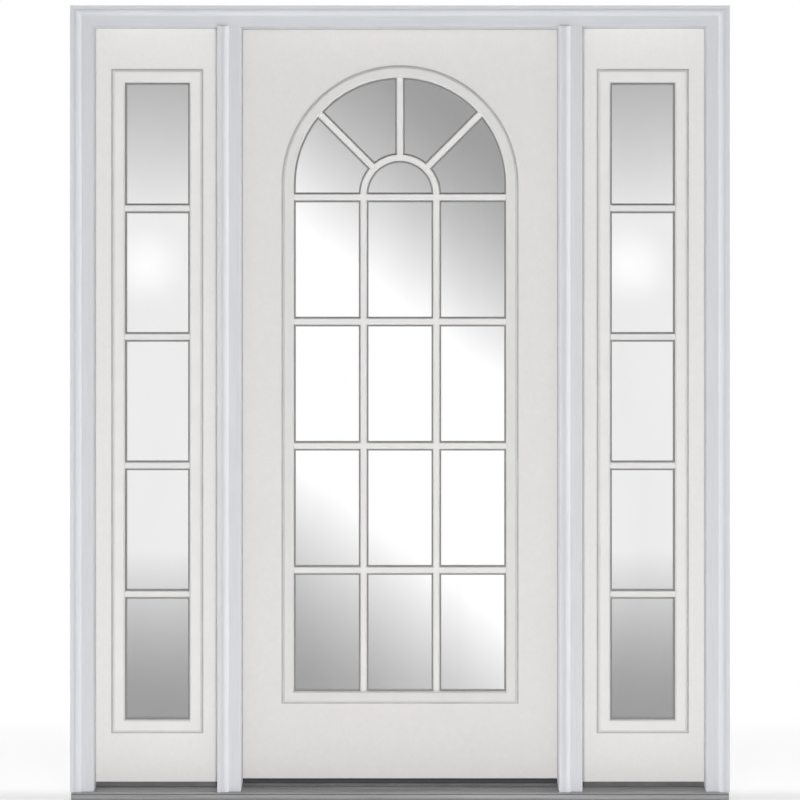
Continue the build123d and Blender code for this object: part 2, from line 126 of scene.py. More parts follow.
class EntryDoorFinishes(bpy.types.PropertyGroup):
    """Colours of the unit's finishes."""

    # The leaf's and the sidelites' skins are one fibreglass: the sidelites' white is painted lighter, as
    # painted light on them
    door_white: seen_colour("Door white", "Moulded skins of the leaf", (0.868, 0.860, 0.852))
    sidelite_white_painted_lighter: seen_colour("Sidelite white", "Moulded skin of the sidelites", (0.903, 0.899, 0.891))
    lite_frame_white: seen_colour("Lite frame white", "Frame round the leaf's glass", (0.852, 0.848, 0.843))
    grille_white: seen_colour("Bar white", "Plastic bars on the glass", (0.890, 0.884, 0.878))
    casing_white: seen_colour("Casing white", "Primed casing, a little blue", (0.815, 0.819, 0.835))
    jamb_white: seen_colour("Jamb white", "Primed jambs and mullions", (0.833, 0.837, 0.850))
    edge_cream: seen_colour("Edge cream", "Primed wood on the edges of the leaf", (0.850, 0.830, 0.790))
    glass_tint: seen_colour("Glass tint", "Light that one pane lets through", (0.986, 0.986, 0.986))
    spacer_grey: seen_colour("Spacer grey", "Lacquered bars between the panes", (0.690, 0.690, 0.690))
    sill_grey: seen_colour("Sill grey", "Mill aluminium of the sill deck", (0.640, 0.640, 0.645))
    cap_grey: seen_colour("Cap grey", "Composite of the threshold cap", (0.420, 0.420, 0.430))
    board_grey: seen_colour("Board grey", "Composite board under the sill", (0.360, 0.360, 0.370))
    seal_grey: seen_colour("Seal grey", "Skin of the foam weatherstrip", (0.690, 0.690, 0.695))
    # Painted shade: the gaskets' grey stands in for the shade in the groove round each lite frame, over a
    # real gasket
    gasket_and_groove_shade_grey: seen_colour("Gasket and groove shade grey", "Gaskets under the lite frames", (0.725, 0.722, 0.715))
    sweep_grey: seen_colour("Sweep grey", "Vinyl of the door bottom", (0.235, 0.235, 0.245))
    hinge_steel: seen_colour("Hinge steel", "Satin steel of the hinges", (0.700, 0.700, 0.705))
    foam_cream: seen_colour("Foam cream", "Foam core of the leaf", (0.930, 0.900, 0.780))


class EntryDoorFittings(bpy.types.PropertyGroup):
    """Sizes of the seals and the hinge screws."""

    seal_width: length("Seal width", "Weatherstrip from the rabbet to its nose", 14.7 * MM)
    seal_ripple: length("Seal ripple", "Depth of the weatherstrip's soft ripples", 0.12 * MM)
    seal_ripple_pitch: length("Ripple pitch", "Length of one ripple", 46.0 * MM)
    gasket_show: length("Gasket show", "Width of a lite frame's gasket that shows", 4.2 * MM)
    gasket_rise: length("Gasket rise", "Height of the gasket's round back", 1.4 * MM)
    sweep_back: length("Sweep back", "Thickness of the sweep's back plate", 2.6 * MM)
    sweep_fins: IntProperty(name="Sweep fins", description="Fins under the sweep", min=1, default=5)
    sweep_lean: length("Fin lean", "How far each fin's tip leans outwards", 2.2 * MM)
    hinge_length: length("Hinge length", "Height of a hinge plate", 101.6 * MM)
    hinge_reach: length("Hinge reach", "Width of a hinge plate", 38.0 * MM)
    screw_head: length("Screw head", "Diameter of a hinge screw's head", 8.4 * MM)
    screw_rise: length("Screw rise", "Height of a screw's head over its plate", 0.9 * MM)
    screw_slot: length("Screw slot", "Width of an arm of the cross recess", 1.3 * MM)


class EntryDoorStudio(bpy.types.PropertyGroup):
    """Camera, floor, lamps and soft panels of the studio."""

    camera_distance: length("Camera distance", "From the camera to the casing's face", 12.0)
    camera_height: length("Camera height", "From the floor to the camera", 1.0608)
    view_width: length("View width", "Width of the picture at the casing's face", 2.1232)

    floor_reach: length("Floor reach", "Half the side of the floor", 60.0)
    floor_drop: length("Floor drop", "From the sill's underside down to the floor", 0.5 * MM)
    floor_white: amount("Floor white", "Share of its light that the floor gives back to the unit", 0.95)
    floor_shade: amount("Floor shade", "Share of the near floor's white that takes the shadow", 0.60)
    floor_light: amount("Floor light", "Level of the lamps and the surround on the open floor", 0.90)
    floor_full: length("Full shade", "How far from the unit the floor takes its whole shadow", 2.0)
    floor_near: length("Near floor", "How far from the unit the floor takes any shadow", 5.0)

    room_light: amount("Room light", "Strength of the even light from all round", 0.265)
    face_power: amount("Face power", "Watts of the lamp that faces each side of the unit", 165.0)
    face_lamp: lengths("Face lamp", "Where the outside lamp stands", (0.0, -5.5, 0.5))
    face_lamp_size: lengths("Face lamp size", "Its width and height", (0.5, 0.9))
    top_power: amount("Top power", "Watts of the lamp over the unit", 140.0)
    top_lamp: lengths("Top lamp", "Where the lamp over the unit hangs", (0.0, 0.0, 7.0))
    top_lamp_size: lengths("Top lamp size", "Its two sides", (0.9, 0.9))
    edge_power: amount("Edge power", "Watts of the slim lamp that faces each edge of the unit", 245.0)
    edge_lamp: lengths("Edge lamp", "Where the right lamp stands", (7.0, -0.25, 1.3))
    edge_lamp_size: lengths("Edge lamp size", "Its width and height", (0.4, 2.4))
    sheen_power: amount("Sheen power", "Watts of each lamp that shows only as a gleam", 220.0)
    sheen_lamp: lengths("Sheen lamp", "Where the right gleam stands", (5.0, -1.0, 1.2))
    sheen_lamp_size: lengths("Sheen lamp size", "Its width and height", (1.7, 3.0))

    panel_gap: length("Panel gap", "From the wall face back to the soft panels", 12.0)
    panel_margin: amount("Panel margin", "Size of a panel over the size that the lite shows", 1.1)
    panel_dim: amount("Panel dim", "Strength of the panels where they are dimmest", 0.25)
    panel_curve: amount("Panel curve", "How fast a panel dims at first", 1.6)
    panel_light: amount("Panel light", "Strength of the leaf's panel where it is brightest", 1.09)
    panel_tilt: FloatProperty(
        name="Panel tilt",
        description="Turn of the leaf's bright band from level",
        subtype="ANGLE",
        default=math.radians(-37.7),
    )
    leaf_band: lengths("Leaf band", "Edges of the leaf's bright band", (0.226, 1.257))
    leaf_fades: lengths("Leaf fades", "Widths over which it dims", (0.983, 0.983))
    side_panel_light: amount("Side panel light", "Strength of the sidelites' panels", 0.875)
    side_band: lengths("Side band", "Edges of the sidelites' bright band", (0.258, 2.020))
    side_fades: lengths("Side fades", "Widths over which it dims", (0.840, 1.307))
    glow_light: amount("Glow light", "Strength of the round glow on the sidelites' panels", 0.19)
    glow_aside: length("Glow aside", "From a side panel's middle left to its glow", 0.064)
    glow_height: length("Glow height", "From the floor to the glow", 1.778)
    glow_reach: length("Glow reach", "Radius of the glow", 0.26)


def linear(seen, shade=1.0):
    """A seen colour as light, times a shade: the usual power curve with its short straight foot."""
    seen = np.asarray(seen, float)
    light = np.where(seen <= 0.04045, seen / 12.92, ((seen + 0.055) / 1.055) ** 2.4)
    return (*np.minimum(light * shade, 1.0), 1.0)


def reckon(tree, kind, *values):
    """A sum of a kind in a node tree, over plain numbers and the outputs of other nodes."""
    made = tree.nodes.new("ShaderNodeMath")
    made.operation = kind
    for socket, value in zip(made.inputs, values):
        if isinstance(value, float):
            socket.default_value = value
        else:
            tree.links.new(value, socket)
    return made.outputs[0]


class Finish:
    """A material with one Principled shader, and the node patterns that the finishes share."""

    def __init__(self, name, **sockets):
        self.material = bpy.data.materials.new(name)
        self.material.use_nodes = True
        self.tree = self.material.node_tree
        self.shader = self.tree.nodes["Principled BSDF"]
        for socket, value in sockets.items():
            self.shader.inputs[socket.replace("_", " ")].default_value = value

    def node(self, kind, links=None, **inputs):
        """A node of a kind, with its links and plain inputs by socket name."""
        made = self.tree.nodes.new(kind)
        for socket, value in inputs.items():
            made.inputs[socket.replace("_", " ")].default_value = value
        for socket, source in (links or {}).items():
            self.tree.links.new(source, made.inputs[socket])
        return made

    def places(self, stretch=(1.0, 1.0, 1.0)):
        """Object coordinates, multiplied along each axis."""
        start = self.node("ShaderNodeTexCoord").outputs["Object"]
        return self.node("ShaderNodeMapping", {"Vector": start}, Scale=stretch).outputs["Vector"]

    def noise(self, places, cells, detail=3.0, roughness=0.55):
        """Cloudy noise from nought to one, with so many cells to a metre."""
        made = self.node(
            "ShaderNodeTexNoise", {"Vector": places}, Scale=cells, Detail=detail, Roughness=roughness
        )
        return made.outputs["Fac"]

    def spread(self, factor, low, high, start=0.3, end=0.7):
        """One value up to the start of a factor's range, another from its end, and an even way between."""
        made = self.node("ShaderNodeMapRange", {"Value": factor})
        for socket, value in (("From Min", start), ("From Max", end), ("To Min", low), ("To Max", high)):
            made.inputs[socket].default_value = value
        return made.outputs["Result"]

    def shades(self, factor, dark, light, start=0.3, end=0.7):
        """A colour that goes from dark to light as the factor rises."""
        made = self.node("ShaderNodeValToRGB", {"Fac": factor})
        low, high = made.color_ramp.elements
        low.position, low.color = start, dark
        high.position, high.color = end, light
        return made.outputs["Color"]

    def tinted(self, colour, factor, dark, light):
        """A colour multiplied by a grey that goes from dark to light as the factor rises."""
        made = self.tree.nodes.new("ShaderNodeMix")
        made.data_type = "RGBA"
        made.blend_type = "MULTIPLY"
        made.inputs[0].default_value = 1.0
        shade = self.shades(factor, (dark,) * 3 + (1.0,), (light,) * 3 + (1.0,))
        self.tree.links.new(colour, made.inputs[6])
        self.tree.links.new(shade, made.inputs[7])
        return made.outputs[2]

    def relief(self, height, depth, under=None):
        """A bump of so many metres from a height of nought to one, over another bump if there is one."""
        links = {"Height": height}
        if under is not None:
            links["Normal"] = under
        return self.node("ShaderNodeBump", links, Strength=1.0, Distance=depth).outputs["Normal"]

    def set(self, **sources):
        """Links the shader's sockets."""
        for socket, source in sources.items():
            self.tree.links.new(source, self.shader.inputs[socket.replace("_", " ")])
        return self.material


def moulded_fibreglass(name, white):
    """Satin moulded skin: faint warm and cool clouds, a fine stipple and a slight unevenness of gloss."""
    finish = Finish(name, IOR=1.5, Specular_IOR_Level=0.25)
    places = finish.places()
    clouds = finish.noise(places, cells=62.0, detail=4.0)
    stipple = finish.noise(places, cells=620.0, detail=2.0)
    waves = finish.noise(places, cells=5.0, detail=2.0)
    cool = np.array(linear(white, shade=0.985)) * (0.996, 1.0, 1.003, 1.0)
    warm = np.array(linear(white, shade=1.012)) * (1.004, 0.999, 0.997, 1.0)
    skin = finish.shades(clouds, tuple(cool), tuple(warm))
    soft = finish.relief(waves, depth=0.10 * MM)
    return finish.set(
        Base_Color=finish.tinted(skin, stipple, dark=0.965, light=1.03),
        Roughness=finish.spread(stipple, low=0.44, high=0.56),
        Normal=finish.relief(stipple, depth=0.05 * MM, under=soft),
    )


def moulded_plastic(name, white, gloss):
    """Smooth moulded plastic: very faint flow clouds and a fine tooth."""
    finish = Finish(name, IOR=1.5)
    places = finish.places()
    clouds = finish.noise(places, cells=16.0)
    tooth = finish.noise(places, cells=900.0, detail=2.0)
    skin = finish.shades(clouds, linear(white, shade=0.975), linear(white, shade=1.015))
    return finish.set(
        Base_Color=finish.tinted(skin, tooth, dark=0.985, light=1.012),
        Roughness=finish.spread(tooth, low=gloss, high=gloss + 0.08),
        Normal=finish.relief(tooth, depth=0.02 * MM),
    )


def primed_wood(name, white, along, grain=1.0):
    """Primer over wood: fine streaks and brush lines that run along the piece's axis."""
    finish = Finish(name, IOR=1.5, Specular_IOR_Level=0.25)
    stretch = [1.0, 1.0, 1.0]
    stretch["XYZ".index(along)] = 0.02
    streaks = finish.noise(finish.places(stretch), cells=420.0, detail=4.0, roughness=0.65)
    brush = finish.noise(finish.places(stretch), cells=1400.0, detail=2.0)
    clouds = finish.noise(finish.places(), cells=7.0)
    skin = finish.shades(clouds, linear(white, shade=0.985), linear(white, shade=1.01))
    fine = finish.relief(brush, depth=0.03 * MM)
    return finish.set(
        Base_Color=finish.tinted(skin, streaks, dark=1.0 - 0.055 * grain, light=1.0 + 0.03 * grain),
        Roughness=finish.spread(streaks, low=0.42, high=0.56),
        Normal=finish.relief(streaks, depth=0.10 * MM * grain, under=fine),
    )


def drawn_aluminium(name, grey):
    """Drawn aluminium of the sill: bright and dull streaks along it, with fine die lines as relief."""
    finish = Finish(name, Metallic=1.0)
    lines = finish.noise(finish.places((0.012, 1.0, 1.0)), cells=520.0, detail=4.0, roughness=0.7)
    bands = finish.noise(finish.places((2.2, 60.0, 60.0)), cells=1.0)
    stain = finish.shades(bands, linear(grey, shade=0.80), linear(grey, shade=1.12))
    return finish.set(
        Base_Color=finish.tinted(stain, lines, dark=0.78, light=1.11),
        Roughness=finish.spread(lines, low=0.42, high=0.58),
        Normal=finish.relief(lines, depth=0.06 * MM),
    )


def satin_steel(name, grey):
    """Satin steel: a fine even brush across the plate and a little haze."""
    finish = Finish(name, Metallic=1.0)
    brush = finish.noise(finish.places((1.0, 0.03, 1.0)), cells=2200.0, detail=2.0)
    haze = finish.noise(finish.places(), cells=60.0)
    skin = finish.shades(haze, linear(grey, shade=0.88), linear(grey, shade=1.06))
    return finish.set(
        Base_Color=finish.tinted(skin, brush, dark=0.93, light=1.04),
        Roughness=finish.spread(haze, low=0.28, high=0.40),
        Normal=finish.relief(brush, depth=0.015 * MM),
    )


def grey_composite(name, grey):
    """Wood and plastic composite: dark and pale flecks in a dull ground."""
    finish = Finish(name, IOR=1.45)
    flecks = finish.noise(finish.places((0.35, 1.0, 1.0)), cells=700.0, detail=4.0, roughness=0.7)
    clouds = finish.noise(finish.places(), cells=24.0)
    ground = finish.shades(clouds, linear(grey, shade=0.85), linear(grey, shade=1.12))
    return finish.set(
        Base_Color=finish.tinted(ground, flecks, dark=0.72, light=1.22),
        Roughness=finish.spread(flecks, low=0.55, high=0.72),
        Normal=finish.relief(flecks, depth=0.08 * MM),
    )


def soft_skin(name, grey, dull, wrinkle):
    """Skin of a seal: a fine leathery tooth with soft wrinkles and a dusty bloom."""
    finish = Finish(name, IOR=1.48)
    tooth = finish.noise(finish.places(), cells=1300.0)
    folds = finish.noise(finish.places(), cells=120.0, detail=2.0)
    bloom = finish.noise(finish.places(), cells=18.0, detail=4.0)
    skin = finish.shades(bloom, linear(grey, shade=0.90), linear(grey, shade=1.10))
    soft = finish.relief(folds, depth=wrinkle)
    return finish.set(
        Base_Color=finish.tinted(skin, tooth, dark=0.93, light=1.05),
        Roughness=finish.spread(bloom, low=dull, high=dull + 0.12),
        Normal=finish.relief(tooth, depth=0.03 * MM, under=soft),
    )


def rigid_foam(name, cream):
    """Rigid foam: small closed cells in a pale ground."""
    finish = Finish(name, IOR=1.3)
    pattern = finish.node("ShaderNodeTexVoronoi", {"Vector": finish.places()}, Scale=900.0)
    cells = pattern.outputs["Distance"]
    pale = linear(cream, shade=1.05)
    return finish.set(
        Base_Color=finish.shades(cells, linear(cream, shade=0.82), pale, start=0.0, end=0.6),
        Roughness=finish.spread(cells, low=0.85, high=0.95),
        Normal=finish.relief(cells, depth=0.2 * MM),
    )


def clear_glass(name, tint):
    """Clear float glass: a hint of tint, a slow drawing wave and faint wiping marks."""
    finish = Finish(name, IOR=1.5, Transmission_Weight=1.0)
    waves = finish.noise(finish.places((1.0, 1.0, 0.3)), cells=6.0, detail=1.0)
    marks = finish.noise(finish.places((1.0, 1.0, 0.25)), cells=9.0, detail=4.0)
    return finish.set(
        Base_Color=finish.shades(marks, linear(tint, shade=0.99), linear(tint, shade=1.01)),
        Roughness=finish.spread(marks, low=0.0, high=0.02, start=0.45, end=0.8),
        Normal=finish.relief(waves, depth=0.02 * MM),
    )


def finish_nodes(material, *names):
    """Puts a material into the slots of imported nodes."""
    for name in names:
        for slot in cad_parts[name].material_slots:
            slot.material = material


def lite_frame_node(lite, face):
    """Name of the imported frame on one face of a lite."""
    return f"{lite}_{face}_lite_frame" if lite == "door" else f"{lite}_{face}_frame"


def grid_faces(rings, points, closed=False):
    """Quads between rings of points.

    Point j of ring i joins point j + 1 and the same two points of the next ring. The last point of a ring
    joins its first, and in a closed run the last ring joins the first ring.
    """
    ring, point = np.meshgrid(np.arange(rings if closed else rings - 1), np.arange(points), indexing="ij")
    after, onward = (point + 1) % points, (ring + 1) % rings
    near = ring * points + point, ring * points + after
    far = onward * points + after, onward * points + point
    return np.stack((*near, *far), axis=-1).reshape(-1, 4)


def new_object(name, points, faces, material):
    """A mesh object at the origin from points and faces, in one material."""
    mesh = bpy.data.meshes.new(name)
    mesh.from_pydata(points.tolist(), [], faces)
    if mesh.validate():
        raise RuntimeError(f"{name} has faces that don't hold")
    mesh.materials.append(material)
    made = bpy.data.objects.new(name, mesh)
    bpy.context.scene.collection.objects.link(made)
    return made


def put_mesh(name, points, faces, material, body, crisp=CRISP_EDGE, stands_for=()):
    """A piece that rides on a body, smooth but for its crisp edges."""
    piece = new_object(name, points, faces, material)
    piece.data.shade_smooth()
    piece.data.set_sharp_from_angle(angle=crisp)
    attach(piece, body)
    if stands_for:
        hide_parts(*stands_for)
    return piece


def put_run(name, rings, material, body, stands_for):
    """A piece from an array of closed rings, with its two end rings capped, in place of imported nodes."""
    count, points, _ = rings.shape
    faces = grid_faces(count, points).tolist()
    first = np.arange(points)
    faces += [first[::-1].tolist(), (first + (count - 1) * points).tolist()]
    return put_mesh(name, rings.reshape(-1, 3), faces, material, body, stands_for=stands_for)


def seal_section(width, depth, points=36):
    """Closed section of the foam seal, as distance from the rabbet and depth.

    A superellipse: each half size times the sine or cosine raised to a power below one, which keeps its
    sign, so the sides are flat and the nose is round. The section is pinched where the seal folds, by a
    share that falls evenly to nought on both sides of the fold.
    """
    nose_power, side_power = 0.62, 0.72
    fold_depth, fold_place, fold_reach = 0.16, -0.45, 0.3
    turn = np.linspace(0.0, 2.0 * np.pi, points, endpoint=False)
    out = np.sign(np.cos(turn)) * np.abs(np.cos(turn)) ** nose_power
    deep = np.sign(np.sin(turn)) * np.abs(np.sin(turn)) ** side_power
    pinch = 1.0 - fold_depth * np.clip(1.0 - np.abs(out - fold_place) / fold_reach, 0.0, 1.0)
    return np.stack((0.5 * width * (1.0 + out), 0.5 * depth * (1.0 + deep * pinch)), axis=-1)


def sweep_section(low, high, back, fins, lean, points=121):
    """Closed section of the sweep, as depth and height.

    The top is straight. The underside hangs from the back plate as a row of fins, each a raised cosine to
    the sixth power, and a point leans outwards by the square of its share of the fin's length.
    """
    share = np.linspace(0.0, 1.0, points)
    fin = (0.5 - 0.5 * np.cos(2.0 * np.pi * fins * share)) ** 6
    hang = (high.z - back - low.z) * fin
    inset = lean + share * (high.y - low.y - lean)
    under = np.stack((low.y + inset - lean * fin**2, high.z - back - hang), axis=-1)
    top = np.array([[high.y, high.z], [low.y + lean, high.z]])
    return np.concatenate((under, top))


def gasket_section(show, rise, points=9):
    """Closed section of a gasket, as distance from the lite frame and height over the skin.

    Its back is a low half round: its height is the rise times a sine to a power a little below one. Its
    foot is let into the skin.
    """
    fullness = 0.8
    turn = np.linspace(0.0, np.pi, points)
    out = np.concatenate((0.5 * show * (1.0 + np.cos(turn)), [0.0, show]))
    height = np.concatenate((rise * np.sin(turn) ** fullness, [-LET_IN, -LET_IN]))
    return out, height


def screw_rings(head, rise, slot, rings=12, points=48):
    """Points of a screw's head over rings from its middle to its rim: two places on the plate and a height.

    The head is a low dome, its rise times one less the square of the share of its radius, on a low rim. A
    cross is sunk into it: two bars, each a smooth step of the distance from an axis, that fade out towards
    the rim.
    """
    innermost, rim, floor = 0.04, 0.35, 0.1
    cross_edge, cross_depth, cross_end, cross_fade = 1.5, 0.72, 0.66, 0.12
    share = np.linspace(innermost, 1.0, rings)[:, None]
    turn = np.linspace(0.0, 2.0 * np.pi, points, endpoint=False)[None, :]
    radius = 0.5 * head * share
    across, along = radius * np.cos(turn), radius * np.sin(turn)
    nearest = np.minimum(np.abs(across), np.abs(along))
    arm = np.clip(cross_edge - nearest / (0.5 * slot), 0.0, 1.0)
    inside = arm * np.clip((cross_end - share) / cross_fade, 0.0, 1.0)
    dome = rise * (rim + (1.0 - rim) * (1.0 - share**2))
    sunk = cross_depth * rise * inside * inside * (3.0 - 2.0 * inside)
    return across, along, np.maximum(dome - sunk, floor * rise)


class FinishDoorLeaf(bpy.types.Operator):
    """Finish the leaf's skins, its primed edges and its foam core"""

    bl_idname = "entry_door.finish_leaf"
    bl_label = "Finish the leaf"

    def execute(self, context):
        colours = context.scene.entry_door_finishes
        skin = moulded_fibreglass("door_fibreglass", colours.door_white)
        finish_nodes(skin, "door_exterior_skin", "door_interior_skin")
        stile_edge = primed_wood("leaf_stile_edge", colours.edge_cream, along="Z", grain=1.6)
        finish_nodes(stile_edge, "hinge_stile", "lock_stile")
        rail_edge = primed_wood("leaf_rail_edge", colours.edge_cream, along="X", grain=1.6)
        finish_nodes(rail_edge, "top_rail", "bottom_rail")
        finish_nodes(rigid_foam("leaf_foam", colours.foam_cream), "door_core")
        return {"FINISHED"}


class FinishSidelites(bpy.types.Operator):
    """Finish the panels of the two fixed sidelites"""

    bl_idname = "entry_door.finish_sidelites"
    bl_label = "Finish the sidelites"

    def execute(self, context):
        colours = context.scene.entry_door_finishes
        # Painted light: the sidelites' skin takes a lighter white than the leaf's skin of the same
        # fibreglass
        skin = moulded_fibreglass("sidelite_fibreglass", colours.sidelite_white_painted_lighter)
        finish_nodes(skin, *(f"{side}_sidelite_panel" for side in SIDES))
        return {"FINISHED"}


class FinishLites(bpy.types.Operator):
    """Finish the lite frames, bars, glass and spacers of the leaf and the sidelites"""

    bl_idname = "entry_door.finish_lites"
    bl_label = "Finish the lites"

    def execute(self, context):
        colours = context.scene.entry_door_finishes
        door_frame = moulded_plastic("door_lite_frame_plastic", colours.lite_frame_white, gloss=0.42)
        # The sidelites' frames take the same white, painted lighter as painted light
        side_frame = moulded_plastic("sidelite_frame_plastic", colours.sidelite_white_painted_lighter, gloss=0.36)
        bars = moulded_plastic("bar_plastic", colours.grille_white, gloss=0.38)
        glass = clear_glass("clear_glass", colours.glass_tint)
        spacer = moulded_plastic("spacer_lacquer", colours.spacer_grey, gloss=0.50)
        for lite in LITES:
            for face in FACES:
                finish_nodes(door_frame if lite == "door" else side_frame, lite_frame_node(lite, face))
                finish_nodes(bars, f"{lite}_{face}_grille")
            finish_nodes(glass, f"{lite}_glass")
            finish_nodes(spacer, f"{lite}_spacer")
            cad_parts[f"{lite}_glass"].visible_shadow = False
        return {"FINISHED"}


class FinishFrame(bpy.types.Operator):
    """Finish the jambs, the mullions and the casing"""

    bl_idname = "entry_door.finish_frame"
    bl_label = "Finish the frame"

    def execute(self, context):
        colours = context.scene.entry_door_finishes
        upright = primed_wood("upright_casing_primer", colours.casing_white, along="Z")
        level = primed_wood("head_casing_primer", colours.casing_white, along="X")
        post = primed_wood("upright_jamb_primer", colours.jamb_white, along="Z", grain=0.8)
        head = primed_wood("head_jamb_primer", colours.jamb_white, along="X", grain=0.8)
        for side in SIDES:
            finish_nodes(upright, f"{side}_brickmould", f"{side}_mullion_casing")
            finish_nodes(post, f"{side}_jamb", f"{side}_mullion")
        finish_nodes(level, "head_brickmould")
        finish_nodes(head, "head_jamb")
        return {"FINISHED"}


class FinishSill(bpy.types.Operator):
    """Finish the aluminium sill deck, its board, the threshold cap and the sidelite bases"""

    bl_idname = "entry_door.finish_sill"
    bl_label = "Finish the sill"

    def execute(self, context):
        colours = context.scene.entry_door_finishes
        finish_nodes(drawn_aluminium("sill_aluminium", colours.sill_grey), "sill_deck")
        finish_nodes(grey_composite("sill_board_composite", colours.board_grey), "sill_substrate")
        strip = grey_composite("threshold_composite", colours.cap_grey)
        finish_nodes(strip, "threshold_cap", "sidelite_bases")
        return {"FINISHED"}


class FitWeatherstrip(bpy.types.Operator):
    """Fit the foam weatherstrip round the head and sides of the doorway"""

    bl_idname = "entry_door.fit_weatherstrip"
    bl_label = "Fit the weatherstrip"

    def execute(self, context):
        sizes = context.scene.entry_door_fittings
        section = seal_section(sizes.seal_width, SEAL_HIGH.y - SEAL_LOW.y)
        rings = self.run(section, sizes.seal_ripple, sizes.seal_ripple_pitch)
        grey = context.scene.entry_door_finishes.seal_grey
        skin = soft_skin("weatherstrip_skin", grey, dull=0.50, wrinkle=0.25 * MM)
        put_run("weatherstrip", rings, skin, "frame", stands_for=["door_weatherstrip"])
        return {"FINISHED"}

    @staticmethod
    def run(section, ripple, pitch, rings_to_ripple=6):
        """Rings of the section up one side, over the head and down the other, mitred at the corners.

        A point that stands off the rabbet by some distance keeps that distance from all three runs. Between
        corners the section's depth is drawn in by the square of a sine of the way along, which leaves soft
        ripples.
        """
        off, deep = section[:, 0], section[:, 1]
        half, foot, head = SEAL_HIGH.x, SEAL_LOW.z, SEAL_HIGH.z
        corners = [
            np.stack((-half + off, deep, np.full_like(off, foot)), axis=-1),
            np.stack((-half + off, deep, head - off), axis=-1),
            np.stack((half - off, deep, head - off), axis=-1),
            np.stack((half - off, deep, np.full_like(off, foot)), axis=-1),
        ]
        runs = []
        for start, end in zip(corners, corners[1:]):
            reach = np.abs(end - start).max()
            steps = max(2, int(reach / pitch * rings_to_ripple))
            share = np.linspace(0.0, 1.0, steps)[:, None, None]
            run = start + share * (end - start)
            wave = np.sin(np.pi * reach * share[:, :, 0] / pitch) ** 2
            run[:, :, 1] -= ripple * (deep / deep.max()) * wave
            runs.append(run if not runs else run[1:])
        rings = np.concatenate(runs)
        rings[:, :, 1] += SEAL_LOW.y
        return rings


class FitSweep(bpy.types.Operator):
    """Fit the finned vinyl sweep under the leaf"""

    bl_idname = "entry_door.fit_sweep"
    bl_label = "Fit the sweep"

    def execute(self, context):
        sizes = context.scene.entry_door_fittings
        section = sweep_section(
            SWEEP_LOW, SWEEP_HIGH, sizes.sweep_back, sizes.sweep_fins, sizes.sweep_lean
        )
        stations = 25
        rings = np.empty((stations, len(section), 3))
        rings[:, :, 0] = np.linspace(SWEEP_LOW.x, SWEEP_HIGH.x, stations)[:, None]
        rings[:, :, 1:] = section[None, :, :]
        grey = context.scene.entry_door_finishes.sweep_grey
        skin = soft_skin("sweep_vinyl", grey, dull=0.42, wrinkle=0.08 * MM)
        put_run("sweep", rings, skin, "leaf", stands_for=["door_sweep"])
        return {"FINISHED"}


class FitLiteGasketsAndGrooveShade(bpy.types.Operator):
    """Fit the gaskets round the lite frames of the leaf and the sidelites, whose grey is partly a real
    gasket and partly painted shade in the groove round each frame
    """

    bl_idname = "entry_door.fit_lite_gaskets"
    bl_label = "Fit the lite gaskets and groove shade"

    def execute(self, context):
        sizes = context.scene.entry_door_fittings
        # Painted shade: this grey stands in for the shade in the groove round each lite frame, over a real
        # gasket
        grey = context.scene.entry_door_finishes.gasket_and_groove_shade_grey
        skin = soft_skin("gasket_and_groove_shade_skin", grey, dull=0.55, wrinkle=0.05 * MM)
        section = gasket_section(sizes.gasket_show, sizes.gasket_rise)
        self.fit("door_lite_gaskets_and_groove_shade", ["door"], section, skin, "leaf")
        self.fit("sidelite_gaskets_and_groove_shade", [f"{side}_sidelite" for side in SIDES], section, skin, "frame")
        return {"FINISHED"}

    def fit(self, name, lites, section, skin, body):
        """One mesh of the gaskets on both faces of some lites."""
        points, faces, first = [], [], 0
        for lite in lites:
            for face, outward in FACES.items():
                rings = self.loop(lite, face, outward, *section)
                quads = grid_faces(*rings.shape[:2], closed=True) + first
                points.append(rings.reshape(-1, 3))
                faces += (quads[:, ::-1] if outward > 0 else quads).tolist()
                first += rings.shape[0] * rings.shape[1]
        put_mesh(name, np.concatenate(points), faces, skin, body)

    @staticmethod
    def loop(lite, face, outward, out, rise, arch_points=73):
        """Closed rings of a gasket round a lite frame.

        The section's points stand off the frame's outline by their distance: its straight sides move out by
        it, and the arch of the leaf's lite keeps its centre and grows its radius by it.
        """
        low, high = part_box(lite_frame_node(lite, face))
        middle, half = 0.5 * (low.x + high.x), 0.5 * (high.x - low.x)
        if lite == "door":
            skin_low, skin_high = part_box(f"{lite}_{face}_skin")
            turn = np.linspace(0.0, np.pi, arch_points)[:, None]
            top = (half + out) * np.cos(turn), high.z - half + (half + out) * np.sin(turn)
        else:
            skin_low, skin_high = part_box(f"{lite}_panel")
            top = np.stack((half + out, -half - out)), np.stack((high.z + out, high.z + out))
        foot = np.stack((-half - out, half + out)), np.stack((low.z - out, low.z - out))
        across, height = (np.concatenate(pair) for pair in zip(foot, top))
        depth = (skin_low.y if outward < 0 else skin_high.y) + outward * rise
        return np.stack((middle + across, np.broadcast_to(depth, across.shape), height), axis=-1)


